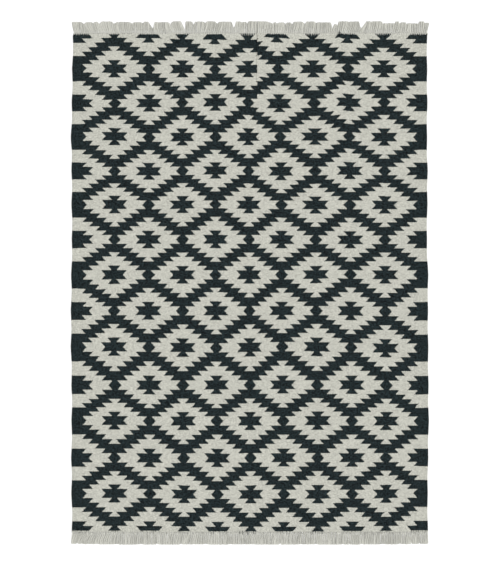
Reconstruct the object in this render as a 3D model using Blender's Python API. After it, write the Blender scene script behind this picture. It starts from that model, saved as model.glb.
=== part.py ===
"""A flat-woven cotton rug lying flat, with a fringe of warp ends past each of its short ends.

Metres, +Z up. +X runs across the rug and +Y along it, towards the far fringe. The origin is the
middle of the whole rug, fringes included, on the floor.
"""

import math
import random

import bmesh
import bpy
from mathutils import Matrix

# Woven cloth
CLOTH_WIDTH = 1.700
CLOTH_THICKNESS = 0.005
RIM = 0.0015  # rounding along the cloth's four edges
# Length of each row of motifs, from the far end to the near end, where the weave is looser
ROWS = (
    0.168, 0.162, 0.163, 0.162, 0.162, 0.165, 0.169,
    0.173, 0.174, 0.182, 0.172, 0.178, 0.174, 0.179,
)
CLOTH_LENGTH = sum(ROWS)
CUTS_A_ROW = 4
CELLS_ACROSS = 20

# Selvedges: the dark weft of each row stands out and the pale weft between draws in
SELVEDGE_DRAW = 0.0016
NEAR_SPREAD = 0.0032  # each selvedge is this much further out at the near end, and further in at the far one
SELVEDGE_WAVES = (
    # side, height, length, start: the slow waves along each selvedge
    (-1, 0.0016, 1.30, 0.20),
    (-1, 0.0008, 0.47, 0.60),
    (1, 0.0018, 1.70, 0.75),
    (1, 0.0008, 0.58, 0.10),
)

# One shallow crease runs in from the far end, where the cloth was folded
CREASE_PLACE = 0.034  # right of the middle, at the far end
CREASE_DRIFT = -0.045  # sideways, for each metre along it
CREASE_LENGTH = 0.42
CREASE_HEIGHT = 0.004
CREASE_HALF_WIDTH = 0.009

# Surface of the cloth, never quite even
SWELLS = (
    # height, length across, length along
    (0.00035, 0.61, 0.83),
    (0.00025, 0.29, 0.37),
)

# Fringe
PARTED = 0.0003  # between the cloth's end and the roots of the fringe
ROOT_DEPTH = 0.008
ROOT_HEIGHT = 0.004
TIP_HEIGHT = 0.0022
ROOT_CELLS = 20
LOCKS = 148  # past each end
LOCK_ROOT_WIDTH = 0.0080
LOCK_TIP_WIDTH = 0.0058
LOCK_CROWN = 0.55  # a lock's top is this much as wide as its foot
LOCK_STATIONS = (0.35, 0.70, 1.00)
TUFT_ROUNDING = 0.007  # a tuft's outer locks end this much short of its middle ones
UNEVEN_LENGTH = 0.0014
UNEVEN_PLACE = 0.0004

FAR_PARTINGS = (
    # from the left selvedge, leaning left of it, leaning right of it, depth, reach of the next tuft
    (0.000, 0.000, -0.011, 0.060, 0.058),
    (0.052, 0.003, 0.002, 0.012, 0.059),
    (0.124, 0.002, 0.002, 0.012, 0.060),
    (0.196, 0.003, 0.003, 0.014, 0.059),
    (0.283, 0.002, 0.002, 0.012, 0.059),
    (0.381, 0.013, 0.007, 0.028, 0.057),
    (0.466, 0.002, 0.002, 0.012, 0.061),
    (0.529, 0.012, 0.007, 0.046, 0.060),
    (0.577, 0.004, 0.004, 0.016, 0.060),
    (0.691, 0.003, 0.002, 0.012, 0.059),
    (0.772, 0.009, 0.008, 0.028, 0.060),
    (0.836, 0.002, 0.002, 0.012, 0.062),
    (0.884, 0.001, 0.001, 0.055, 0.061),
    (0.955, 0.003, 0.003, 0.012, 0.056),
    (1.049, 0.003, 0.003, 0.012, 0.060),
    (1.165, 0.002, 0.002, 0.012, 0.058),
    (1.243, 0.011, 0.010, 0.042, 0.060),
    (1.379, 0.008, 0.018, 0.036, 0.061),
    (1.491, 0.003, 0.003, 0.014, 0.054),
    (1.569, 0.002, 0.003, 0.012, 0.055),
    (1.660, 0.002, 0.001, 0.012, 0.056),
    (1.700, -0.008, 0.000, 0.060, 0.056),
)

NEAR_PARTINGS = (
    # from the left selvedge, leaning left of it, leaning right of it, depth, reach of the next tuft
    (0.000, 0.000, -0.009, 0.060, 0.060),
    (0.052, 0.001, 0.002, 0.012, 0.062),
    (0.190, 0.001, 0.001, 0.010, 0.063),
    (0.405, 0.001, 0.002, 0.010, 0.063),
    (0.640, 0.002, 0.001, 0.010, 0.062),
    (0.860, 0.001, 0.001, 0.010, 0.063),
    (1.090, 0.002, 0.002, 0.012, 0.062),
    (1.165, 0.001, 0.001, 0.010, 0.063),
    (1.380, 0.001, 0.002, 0.010, 0.062),
    (1.565, 0.002, 0.001, 0.012, 0.060),
    (1.700, -0.006, 0.000, 0.060, 0.060),
)
NEAR_ROUNDING = 0.0018

# Materials: colour, roughness
WOVEN_COTTON = ((0.030, 0.038, 0.043), 0.90)
FRINGE_COTTON = ((0.560, 0.545, 0.485), 0.92)


def clear_scene():
    for old in list(bpy.data.objects):
        bpy.data.objects.remove(old, do_unlink=True)


def cotton(name, finish):
    """A matt cotton of one colour."""
    colour, roughness = finish
    material = bpy.data.materials.new(name)
    material.use_nodes = True
    shader = material.node_tree.nodes["Principled BSDF"]
    shader.inputs["Base Color"].default_value = (*colour, 1.0)
    shader.inputs["Roughness"].default_value = roughness
    shader.inputs["Metallic"].default_value = 0.0
    material.diffuse_color = (*colour, 1.0)
    return material


def placed(name, bm, material):
    """The object made of a finished mesh, its faces pointing out."""
    bmesh.ops.recalc_face_normals(bm, faces=bm.faces)
    mesh = bpy.data.meshes.new(name)
    bm.to_mesh(mesh)
    bm.free()
    mesh.materials.append(material)
    thing = bpy.data.objects.new(name, mesh)
    bpy.context.collection.objects.link(thing)
    return thing


def bridge(bm, upper, lower):
    """Quads between two closed loops of vertices."""
    for k in range(len(upper)):
        bm.faces.new((upper[k - 1], upper[k], lower[k], lower[k - 1]))


def row_lines():
    """Distances from the far end at which the cloth's mesh has a line, CUTS_A_ROW to a row of motifs."""
    lines = [0.0]
    for row in ROWS:
        start = lines[-1]
        lines += [start + row * cut / CUTS_A_ROW for cut in range(1, CUTS_A_ROW + 1)]
    return lines


def column_lines():
    """Places across, -1 at the left selvedge to 1 at the right, and which of them are the crease's."""
    half = CLOTH_WIDTH / 2
    crease = [(CREASE_PLACE + side * CREASE_HALF_WIDTH) / half for side in (-1, 0, 1)]
    even = [2 * cell / CELLS_ACROSS - 1 for cell in range(CELLS_ACROSS + 1)]
    clear_of_crease = [u for u in even if abs(u - crease[1]) * half > 3 * CREASE_HALF_WIDTH]
    return sorted(clear_of_crease + crease), set(crease)


def selvedge(side, row_phase, along):
    """Distance of a selvedge from the rug's middle line, at a share of the length from the far end."""
    reach = CLOTH_WIDTH / 2 + NEAR_SPREAD * (2 * along - 1)
    reach += SELVEDGE_DRAW * math.cos(2 * math.pi * row_phase)
    for wave_side, height, length, start in SELVEDGE_WAVES:
        if wave_side == side:
            reach += height * math.sin(2 * math.pi * (along * CLOTH_LENGTH / length + start))
    return reach


def crease_rise(from_crease, from_end):
    """Height that the crease adds to the cloth's top."""
    if from_end > CREASE_LENGTH or abs(from_crease) >= CREASE_HALF_WIDTH:
        return 0.0
    fade = 1 - from_end / CREASE_LENGTH
    return CREASE_HEIGHT * fade * (1 - abs(from_crease) / CREASE_HALF_WIDTH)


def cloth_top(x, y):
    """Height of the cloth's top away from the crease."""
    height = CLOTH_THICKNESS
    for rise, across, along in SWELLS:
        height += rise * math.sin(2 * math.pi * x / across) * math.cos(2 * math.pi * y / along)
    return height


def woven_field():
    """One slab with wavy selvedges, straight ends, rounded edges and the crease on its top."""
    rows = row_lines()
    columns, crease_columns = column_lines()
    half = CLOTH_WIDTH / 2
    bm = bmesh.new()
    grid = []
    for number, from_end in enumerate(rows):
        along = from_end / CLOTH_LENGTH
        y = CLOTH_LENGTH / 2 - from_end
        y -= RIM * ((number == 0) - (number == len(rows) - 1))
        line = []
        for u in columns:
            side = 1 if u > 0 else -1
            x = u * (selvedge(side, number / CUTS_A_ROW, along) - RIM)
            z = cloth_top(x, y)
            if u in crease_columns:
                x += CREASE_DRIFT * min(from_end, CREASE_LENGTH)
                z += crease_rise(u * half - CREASE_PLACE, from_end)
            line.append(bm.verts.new((x, y, z)))
        grid.append(line)
    for above, below in zip(grid, grid[1:]):
        for k in range(1, len(columns)):
            bm.faces.new((above[k - 1], above[k], below[k], below[k - 1]))
    top_rim = grid[0] + [line[-1] for line in grid[1:-1]] + grid[-1][::-1]
    top_rim += [line[0] for line in grid[-2:0:-1]]
    loops = [top_rim]
    for outward, height in ((RIM, CLOTH_THICKNESS - RIM), (RIM, RIM), (0.0, 0.0)):
        loops.append([bm.verts.new(rim_point(vert.co, outward, height)) for vert in top_rim])
    for upper, lower in zip(loops, loops[1:]):
        bridge(bm, upper, lower)
    bm.faces.new(loops[-1])
    return placed("woven_field", bm, cotton("woven_cotton", WOVEN_COTTON))


def rim_point(inner, outward, height):
    """The point of a lower loop of the cloth's rim that belongs to a point of its top loop."""
    end_line = CLOTH_LENGTH / 2 - RIM
    side_line = CLOTH_WIDTH / 2 - 5 * RIM
    x = inner.x + outward * ((inner.x > side_line) - (inner.x < -side_line))
    y = inner.y + outward * ((inner.y > end_line - 1e-5) - (inner.y < 1e-5 - end_line))
    return (x, y, height)


def opened(share, depth, reach):
    """How far a parting of this depth has opened at a share of the fringe's reach, 0 to 1."""
    closed = max(0.0, 1 - depth / reach)
    return max(0.0, (share - closed) / (1 - closed))


def tuft_of(place, partings):
    """The two partings on either side of a place, and the place between them, 0 to 1."""
    for left, right in zip(partings, partings[1:]):
        if place < right[0]:
            break
    return left, right, (place - left[0]) / (right[0] - left[0])


def lock_rings(place, side, partings, rounding, chance):
    """Sections of one lock, root to tip, each as the corners left foot, right foot, right top, left top."""
    left, right, between = tuft_of(place, partings)
    reach = left[4] - rounding * abs(2 * between - 1) ** 3 + chance.uniform(-1, 1) * UNEVEN_LENGTH
    root_x = place - CLOTH_WIDTH / 2
    sway = chance.uniform(-1, 1) * UNEVEN_PLACE
    rings = []
    for station in (0.0, *LOCK_STATIONS):
        lean = (1 - between) * left[2] * opened(station, left[3], reach)
        lean -= between * right[1] * opened(station, right[3], reach)
        x = root_x + lean + sway * station
        y = CLOTH_LENGTH / 2 + ROOT_DEPTH + (reach - ROOT_DEPTH) * station
        foot = (LOCK_ROOT_WIDTH + (LOCK_TIP_WIDTH - LOCK_ROOT_WIDTH) * station) / 2
        top = foot * LOCK_CROWN
        z = ROOT_HEIGHT + (TIP_HEIGHT - ROOT_HEIGHT) * station
        corners = ((x - foot, 0), (x + foot, 0), (x + top, z), (x - top, z))
        rings.append([(across, side * y, up) for across, up in corners])
    return rings


def fringe(name, side, partings, rounding, seed):
    """Locks that stand apart on the floor, grown from the front of one narrow strip."""
    chance = random.Random(seed)
    bm = bmesh.new()
    pitch = CLOTH_WIDTH / LOCKS
    front_feet = []
    front_tops = []
    for number in range(LOCKS):
        rings = lock_rings((number + 0.5) * pitch, side, partings, rounding, chance)
        rings = [[bm.verts.new(point) for point in ring] for ring in rings]
        for root, tip in zip(rings, rings[1:]):
            bridge(bm, root, tip)
        bm.faces.new(rings[-1])
        left_foot, right_foot, right_top, left_top = rings[0]
        if front_feet:
            bm.faces.new((front_feet[-1], left_foot, left_top, front_tops[-1]))
        front_feet += [left_foot, right_foot]
        front_tops += [left_top, right_top]
    back_y = side * (CLOTH_LENGTH / 2 + PARTED)
    back_x = [CLOTH_WIDTH * (cell / ROOT_CELLS - 0.5) for cell in range(ROOT_CELLS, -1, -1)]
    back_feet = [bm.verts.new((x, back_y, 0)) for x in back_x]
    back_tops = [bm.verts.new((x, back_y, ROOT_HEIGHT)) for x in back_x]
    bm.faces.new(front_feet + back_feet)
    bm.faces.new(front_tops + back_tops)
    for k in range(ROOT_CELLS):
        bm.faces.new((back_feet[k], back_feet[k + 1], back_tops[k + 1], back_tops[k]))
    bm.faces.new((front_feet[-1], back_feet[0], back_tops[0], front_tops[-1]))
    bm.faces.new((back_feet[-1], front_feet[0], front_tops[0], back_tops[-1]))
    return placed(name, bm, cotton(name + "_cotton", FRINGE_COTTON))


def centre_on_floor(things):
    """Slides the whole rug so that the middle of its box is over the origin."""
    points = [vert.co for thing in things for vert in thing.data.vertices]
    middle_x = (min(p.x for p in points) + max(p.x for p in points)) / 2
    middle_y = (min(p.y for p in points) + max(p.y for p in points)) / 2
    for thing in things:
        thing.data.transform(Matrix.Translation((-middle_x, -middle_y, 0)))


def smooth_shading(thing):
    thing.data.shade_smooth()
    thing.data.set_sharp_from_angle(angle=math.radians(35))


def main():
    clear_scene()
    cloth = woven_field()
    far = fringe("fringe_far", 1, FAR_PARTINGS, TUFT_ROUNDING, seed=3)
    near = fringe("fringe_near", -1, NEAR_PARTINGS, NEAR_ROUNDING, seed=8)
    centre_on_floor([cloth, far, near])
    smooth_shading(cloth)


main()
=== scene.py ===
import math
import random
from functools import partial

import bpy
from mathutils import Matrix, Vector, noise


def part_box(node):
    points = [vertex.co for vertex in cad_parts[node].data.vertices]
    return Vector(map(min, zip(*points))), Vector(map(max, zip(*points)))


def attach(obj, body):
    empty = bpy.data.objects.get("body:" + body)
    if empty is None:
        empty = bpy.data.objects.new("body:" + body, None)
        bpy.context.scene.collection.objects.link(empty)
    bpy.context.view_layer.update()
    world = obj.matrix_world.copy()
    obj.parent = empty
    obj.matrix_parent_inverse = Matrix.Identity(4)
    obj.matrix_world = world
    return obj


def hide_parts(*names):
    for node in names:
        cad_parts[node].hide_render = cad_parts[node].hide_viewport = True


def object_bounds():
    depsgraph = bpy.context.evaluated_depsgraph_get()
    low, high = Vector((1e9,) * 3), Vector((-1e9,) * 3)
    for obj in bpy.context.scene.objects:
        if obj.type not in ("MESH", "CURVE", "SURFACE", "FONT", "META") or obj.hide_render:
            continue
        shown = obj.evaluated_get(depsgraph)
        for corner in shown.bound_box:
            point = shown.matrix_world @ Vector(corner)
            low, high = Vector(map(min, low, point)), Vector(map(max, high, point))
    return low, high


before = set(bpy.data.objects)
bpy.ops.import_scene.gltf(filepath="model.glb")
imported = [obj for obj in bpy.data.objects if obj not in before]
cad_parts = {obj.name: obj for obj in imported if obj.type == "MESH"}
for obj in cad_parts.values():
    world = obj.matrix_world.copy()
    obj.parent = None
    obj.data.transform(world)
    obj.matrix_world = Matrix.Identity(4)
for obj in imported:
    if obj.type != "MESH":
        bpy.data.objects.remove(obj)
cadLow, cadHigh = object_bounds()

# Everything is in metres: +X across the rug, +Y towards the far fringe, floor at Z = 0

rug = {
    "width": 1.700,
    "thickness": 0.005,
    "edgeRounding": 0.0015,
    "bundles": 196,  # bundles of warp that leave each end of the cloth
    # length of each row of motifs, far end first: the weave is looser towards the near end
    "motifRows": (0.167, 0.162, 0.163, 0.162, 0.162, 0.166, 0.169,
                  0.173, 0.175, 0.182, 0.171, 0.178, 0.173, 0.180),
    # places of the columns of motifs, from the middle, in the nearest row
    "motifColumns": (-0.8140, -0.6495, -0.4810, -0.3176, -0.1558, 0.0038,
                     0.1620, 0.3258, 0.4891, 0.6519, 0.8125),
    "columnDrift": -0.0192,  # how far the columns right of the middle have moved at the far end
    "driftFade": 0.8,  # power of its fall towards the near end
    "driftBend": 1.5,  # power that puts its widest place right of the middle
    "rowSag": 0.0016,  # how far the rows hang back halfway along
    # how far the wefts bow towards the far end at each column, in millimetres
    "farBow": (-1.0, 4.3, 1.0, -3.4, -5.6, -5.6, -0.6, -2.0, -2.4, -4.4, -3.0),
    "nearBow": (3.8, 3.8, 3.8, 1.6, 0.6, 0.6, 0.6, 0.2, 1.8, 2.8, 4.8),
    "farBowEnds": (0.05, 0.15),  # distances from the end between which the bows fade out
    "nearBowEnds": (0.04, 0.22),
    "farCornerDraw": 0.0036,  # how far the far right corner's pattern is drawn to the left
    "cornerDrawAcross": (0.66, 0.82),  # where that starts and is full, from the middle
    "cornerDrawAlong": (0.25, 0.42),  # where it starts to fade and ends, from the far end
    # reach of the selvedges from the middle at the end of each row, in millimetres, far end first
    "leftReach": (847, 850.5, 852, 856.5, 853.5, 853.5, 852, 855,
                  856.5, 857, 853.5, 853.5, 855, 854, 852),
    "rightReach": (848, 848, 849, 847.5, 850.5, 849.5, 847, 853,
                   852, 853.5, 854.5, 856, 853, 850.5, 852),
    "leftDraw": 0.0021,  # dark bands stand out this much, and the pale ones draw in
    "rightDraw": 0.0014,
    "farLeftCorner": 0.0038,  # how much the far left corner is drawn in
    "farCornerLength": 0.010,
    "farHeader": 0.0040,  # last wefts, past the first row of motifs
    "nearHeader": 0.0026,
    "farGapShade": 0.0040,  # width of the painted shade, dotted between the bundles, that ends each header
    "nearGapShade": 0.0018,
    "swells": ((0.00035, 0.61, 0.83), (0.00025, 0.29, 0.37)),  # height, length across, length along
    "cutsPerRow": 4,  # lines of the cloth's mesh in each row of motifs
    # eighths of a row with a line of their own, where the weave is most uneven: row, eighth
    "extraCuts": ((1, 5), (1, 7), (2, 1), (3, 1), (3, 3), (3, 5), (4, 7),
                  (7, 1), (10, 1), (10, 3), (12, 3), (12, 7), (13, 5)),
}

crease = {
    "place": 0.037,  # right of the middle, at the far end
    "drift": -0.014,  # metres to the right for each metre towards the near end
    "length": 0.42,
    "height": 0.0042,
    "crevice": 0.0028,  # depth of the crevice at the foot of its left side
    "creviceWidth": 0.0026,
    "leftSlope": 0.0045,
    "rightSlope": 0.012,
    "tucked": 0.0085,  # width of cloth that it hides at the far end
    "tuckedLength": 0.50,
    "tuckedFade": (0.45, 0.80),  # places right of the middle between which that fades out
    "pinched": 0.0138,  # more that it hides close by, which the cloth on its right makes up for
    "pinchedLength": 0.65,
    "pinchedFade": (0.05, 0.30),
    "pushed": 0.0024,  # to the right, on its left
    "pushedWidth": 0.16,
    "lifted": 0.009,  # how far the wefts on its right are pulled towards the far end
    "liftedLength": 0.18,
    "liftedWidth": 0.17,
}

# Where the weave runs askew, in millimetres: place right of the middle and from the far end, half
# the width and half the length of the patch, how far it is moved towards the far end
movedForward = (
    (434, 375, 38, 290, 5.6), (238, 542, 190, 48, 3.8), (190, 380, 190, 57, -3.8),
    (166, 734, 153, 77, -4.8), (-136, 298, 180, 105, 4.3), (-122, 116, 105, 67, -4.3),
    (-203, 796, 134, 134, 4.1), (-452, 557, 86, 215, -3.1), (501, 940, 263, 86, -2.9),
    (415, 1227, 105, 77, 2.9), (678, 1414, 200, 115, -5.3), (238, 1481, 182, 115, 4.1),
    (-634, 1448, 134, 105, 3.4), (-170, 1457, 134, 96, -3.1), (-740, 1237, 96, 77, -3.6),
    (-663, 2204, 168, 86, 3.1), (-696, 1883, 144, 86, 2.9), (-217, 2151, 168, 67, -3.1),
    (774, 2233, 120, 134, 3.6), (-720, 461, 120, 43, 2.9), (-696, 624, 96, 48, -2.9),
    (707, 580, 144, 115, -2.6), (755, 1725, 105, 86, -2.9), (295, 1802, 105, 86, 2.4),
    (-395, 2051, 96, 67, -2.6), (56, 39, 24, 38, 5.4), (-797, 197, 57, 48, 3.4),
    (-31, 355, 38, 77, 3.8), (56, 355, 38, 77, -2.4), (-673, 1084, 96, 57, 2.9),
    (-117, 1112, 48, 67, -2.4), (-179, 1275, 48, 67, 2.9), (-443, 1773, 86, 67, -2.9),
    (424, 216, 38, 67, 1.9), (142, 547, 105, 48, 2.0), (822, 1447, 48, 57, -2.9),
    (444, 2291, 48, 105, 2.2), (635, 380, 60, 60, 2.9), (600, 750, 67, 67, 2.6), (52, 185, 20, 62, 3.4),
    (-155, 868, 86, 43, 2.4), (-107, 2015, 57, 62, -2.4), (-55, 2165, 110, 43, -2.2),
    (-700, 298, 57, 43, -2.9), (-535, 216, 53, 43, 2.9), (470, 545, 43, 57, 2.2),
    (680, 1520, 53, 53, -2.4), (-525, 2250, 72, 43, 2.2), (812, 2090, 57, 43, 2.4),
    (465, 1682, 48, 43, 2.2), (-390, 265, 48, 53, -2.4), (427, 10, 15, 24, 6.5),
    (-687, 309, 125, 17, -4.6), (-131, 329, 120, 17, 5.0), (424, 329, 110, 17, 2.6),
    (702, 335, 125, 26, 4.1), (147, 349, 110, 17, -4.3), (-687, 500, 125, 26, 3.6),
    (-687, 573, 125, 21, -4.1), (-131, 565, 110, 19, -3.0), (150, 583, 110, 19, 2.4),
    (-687, 785, 125, 19, 4.3), (-200, 795, 140, 15, -5.4), (147, 806, 110, 17, 2.6),
    (702, 800, 125, 19, -3.8), (424, 1183, 110, 24, 3.6), (-687, 1544, 125, 19, 3.4),
    (147, 1713, 110, 21, 3.4), (-131, 1766, 125, 17, -4.6), (702, 1766, 125, 15, -3.4),
    (-409, 1766, 110, 15, -2.6), (702, 2082, 125, 26, 3.1), (-270, 2315, 240, 17, 3.0),
    (400, 2181, 330, 17, -2.2), (-131, 288, 100, 60, -2.4), (-100, 690, 100, 43, 2.2),
    (640, 715, 140, 26, 2.4), (150, 715, 100, 21, -2.4), (-100, 1215, 86, 24, 2.4),
    (-100, 1681, 100, 26, 2.4), (12, 308, 18, 15, -4.0), (-131, 137, 110, 24, -2.9),
    (-687, 167, 120, 17, 2.6), (424, 167, 110, 17, 2.6), (147, 268, 110, 17, 2.9),
    (-687, 1238, 125, 24, -2.6), (147, 1556, 110, 26, 2.4), (-687, 1745, 125, 19, -2.6),
    (280, 2073, 200, 21, 2.4), (-765, 185, 40, 20, 2.4), (828, 226, 30, 24, 2.9),
)

# the same for the patches that are moved to the left
movedLeft = (
    (-510, 1194, 120, 326, 4.8), (-356, 1275, 67, 479, 2.6), (247, 341, 43, 431, 3.8),
    (367, 413, 57, 431, -3.8), (381, 1778, 96, 263, -3.6), (94, 173, 53, 216, -4.3),
    (678, 1745, 200, 168, -4.6), (717, 1400, 77, 77, -3.4), (-625, 355, 96, 144, -3.8),
    (-433, 341, 57, 287, -4.1), (-107, 485, 86, 134, -3.8), (-7, 1036, 48, 814, -2.4),
    (-184, 1227, 96, 287, 1.9), (-289, 2219, 62, 182, -3.6), (-103, 1960, 67, 105, -3.4),
    (-634, 1697, 86, 96, -3.4), (-294, 173, 53, 134, -3.4), (-423, 2161, 53, 240, -2.9),
    (103, 1323, 57, 431, 2.2), (563, 499, 105, 96, 2.9), (-730, 878, 134, 115, -2.9),
    (56, 39, 24, 38, -3.8), (-447, 1179, 48, 240, -2.4), (-299, 1083, 48, 527, -2.2),
    (-778, 1409, 105, 77, 3.4), (-136, 2329, 67, 77, -3.4), (-376, 1754, 48, 96, 2.9),
    (788, 1198, 67, 57, -2.9), (-663, 604, 77, 125, -2.2), (199, 1927, 48, 105, -2.6),
    (257, 1208, 38, 96, 2.6), (-749, 58, 57, 48, 2.9), (539, 1970, 48, 96, -2.4),
    (620, 70, 53, 43, 2.9), (245, 70, 53, 38, 2.9), (155, 60, 43, 38, -2.9), (-155, 240, 62, 110, -2.0),
    (-430, 555, 48, 48, -2.9), (190, 850, 48, 86, -2.4), (-685, 930, 77, 77, -2.2),
    (30, 1560, 48, 86, -3.1), (390, 1470, 57, 77, -2.2), (-812, 2010, 48, 53, 3.1),
    (-600, 2110, 72, 62, -2.6), (725, 2090, 57, 77, -2.6), (540, 2330, 72, 48, -3.1),
    (780, 910, 48, 96, 2.2), (-645, 1475, 53, 96, 2.2), (550, 1225, 62, 53, -2.2),
)

clothLow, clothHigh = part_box("woven_field")
clothLength = clothHigh.y - clothLow.y
middleX = (cadLow.x + cadHigh.x) / 2
rowCount = len(rug["motifRows"])


def within(low, high, value):
    return min(high, max(low, value))


def smoothStep(low, high, value):
    share = within(0.0, 1.0, (value - low) / (high - low))
    return share * share * (3 - 2 * share)


def placeAmong(places, value):
    # index of a value among rising places, with its fraction, carried on past both ends
    below = sum(1 for place in places[1:-1] if place <= value)
    return below + (value - places[below]) / (places[below + 1] - places[below])


def valueAt(values, index):
    # smooth value at a fractional index of a list
    index = within(0.0, len(values) - 1.0, index)
    below = min(int(index), len(values) - 2)
    return values[below] + (values[below + 1] - values[below]) * smoothStep(0.0, 1.0, index - below)


rowEnds = [0.0]
for rowLength in rug["motifRows"]:
    rowEnds.append(rowEnds[-1] + rowLength)
# the cloth's mesh has a line across at each of these distances from the first row of motifs
rowLines = [-rug["farHeader"], 0.0, rug["farCornerLength"]]
for rowStart, rowLength in zip(rowEnds, rug["motifRows"]):
    for cut in range(1, rug["cutsPerRow"] + 1):
        rowLines.append(rowStart + rowLength * cut / rug["cutsPerRow"])
rowLines += [rowEnds[row] + rug["motifRows"][row] * eighth / 8 for row, eighth in rug["extraCuts"]]
rowLines = sorted(rowLines) + [clothLength + rug["nearHeader"]]


def selvedge(side, fromFar):
    # place of the left (-1) or right (1) selvedge
    row = within(0.0, rowCount, placeAmong(rowEnds, fromFar))
    reach, draw = ("leftReach", "leftDraw") if side < 0 else ("rightReach", "rightDraw")
    place = 0.001 * valueAt(rug[reach], row) + rug[draw] * math.cos(2 * math.pi * row)
    if side < 0:
        place -= rug["farLeftCorner"] * (1 - smoothStep(0.0, rug["farCornerLength"], fromFar))
    return place


def creaseLine(fromFar):
    return crease["place"] + crease["drift"] * min(fromFar, crease["length"])


def creaseRise(across, fromFar):
    offset = across - creaseLine(fromFar)
    slope = crease["rightSlope"] if offset > 0 else crease["leftSlope"]
    fade = max(0.0, 1 - fromFar / crease["length"])
    rise = crease["height"] * smoothStep(0.0, 1.0, 1 - abs(offset) / slope)
    fromCrevice = abs(offset + crease["leftSlope"])
    return fade * (rise - crease["crevice"] * max(0.0, 1 - fromCrevice / crease["creviceWidth"]))


def clothTop(across, fromFar):
    # height of the cloth's top, before its ribs
    fromMiddle = clothLength / 2 - fromFar
    height = rug["thickness"]
    for rise, lengthAcross, lengthAlong in rug["swells"]:
        wave = math.sin(2 * math.pi * across / lengthAcross)
        height += rise * wave * math.cos(2 * math.pi * fromMiddle / lengthAlong)
    return height + creaseRise(across, fromFar)


def creaseShift(across, fromFar):
    # how far the woven chart is moved at a place by the crease, across and along
    fromCrease = across - creaseLine(fromFar)
    pinch = max(0.0, 1 - fromFar / crease["pinchedLength"])
    if fromCrease < 0:
        return -crease["pushed"] * pinch * smoothStep(-crease["pushedWidth"], 0.0, fromCrease), 0.0
    tucked = crease["tucked"] * max(0.0, 1 - fromFar / crease["tuckedLength"])
    shift = tucked * (1 - smoothStep(*crease["tuckedFade"], across))
    shift += crease["pinched"] * pinch * (1 - smoothStep(*crease["pinchedFade"], across))
    fade = max(0.0, 1 - fromFar / crease["liftedLength"])
    return shift, crease["lifted"] * fade * (1 - smoothStep(0.0, crease["liftedWidth"], fromCrease))


def movedBy(patches, across, fromFar):
    moved = 0.0
    for place, distance, halfWidth, halfLength, move in patches:
        off = ((1000 * across - place) / halfWidth) ** 2 + ((1000 * fromFar - distance) / halfLength) ** 2
        if off < 6:  # further out a patch moves nothing
            moved += 0.001 * move * math.exp(-off)
    return moved


def chartPlace(across, fromFar):
    # column and row of the woven chart at a place on the cloth: whole numbers are motif centres
    shiftAcross, shiftAlong = creaseShift(across, fromFar)
    lastColumn = len(rug["motifColumns"]) - 1.0
    flatAcross = across + shiftAcross + movedBy(movedLeft, across, fromFar)
    drawn = rug["farCornerDraw"] * smoothStep(*rug["cornerDrawAcross"], across)
    flatAcross += drawn * (1 - smoothStep(*rug["cornerDrawAlong"], fromFar))
    column = placeAmong(rug["motifColumns"], flatAcross)
    sag = rug["rowSag"] * math.sin(math.pi * fromFar / clothLength) ** 2
    farBow = valueAt(rug["farBow"], column) * (1 - smoothStep(*rug["farBowEnds"], fromFar))
    nearBow = valueAt(rug["nearBow"], column) * (1 - smoothStep(*rug["nearBowEnds"], clothLength - fromFar))
    along = fromFar + shiftAlong + movedBy(movedForward, across, fromFar) - sag
    row = placeAmong(rowEnds, along + 0.001 * (farBow + nearBow))
    columnShare = within(0.0, lastColumn, column) / lastColumn
    middleShare = math.sin(math.pi * columnShare ** rug["driftBend"])
    drift = rug["columnDrift"] * max(0.0, 1 - row / (rowCount - 1)) ** rug["driftFade"] * middleShare
    return within(0.0, lastColumn, placeAmong(rug["motifColumns"], flatAcross - drift)), row


def nodeOf(kind, values=(), output=0, tree=None, **settings):
    # adds a node, feeds its inputs in order or by name, and returns one of its outputs: it joins the
    # tree that its inputs come from, or the one that is named
    values = dict(values if isinstance(values, dict) else enumerate(values))
    sources = {place: value for place, value in values.items() if isinstance(value, bpy.types.NodeSocket)}
    tree = tree or next(iter(sources.values())).id_data
    node = tree.nodes.new(kind)
    for name, setting in settings.items():
        setattr(node, name, setting)
    for place, value in values.items():
        if place in sources:
            tree.links.new(value, node.inputs[place])
        else:
            node.inputs[place].default_value = value
    return node.outputs[output]


def mathOf(operation, *values):
    return nodeOf("ShaderNodeMath", values, operation=operation)


def chained(operation, first, *others):
    # the same operation over two or more values
    for other in others:
        first = mathOf(operation, first, other)
    return first


times = partial(chained, "MULTIPLY")
plus = partial(chained, "ADD")
minus = partial(chained, "SUBTRACT")


def spread(value, low, high, newLow, newHigh, kind="LINEAR"):
    return nodeOf("ShaderNodeMapRange", (value, low, high, newLow, newHigh), interpolation_type=kind)


def mixColour(factor, first, second):
    return nodeOf("ShaderNodeMix", {0: factor, 6: first, 7: second}, 2, data_type="RGBA")


def mixValue(factor, first, second):
    return nodeOf("ShaderNodeMix", {0: factor, 2: first, 3: second}, data_type="FLOAT")


def vectorOf(x, y, z=0.0):
    return nodeOf("ShaderNodeCombineXYZ", (x, y, z))


def scaled(vector, scale):
    return nodeOf("ShaderNodeVectorMath", (vector, scale), operation="MULTIPLY")


def shaded(colour, tone):
    return scaled(colour, vectorOf(tone, tone, tone))


def noiseOf(vector, scale=1.0, detail=2.0, roughness=0.5):
    values = {"Vector": vector, "Scale": scale, "Detail": detail, "Roughness": roughness}
    return nodeOf("ShaderNodeTexNoise", values)


def randomOf(vector):
    return nodeOf("ShaderNodeTexWhiteNoise", {"Vector": vector}, "Value", noise_dimensions="3D")


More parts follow.
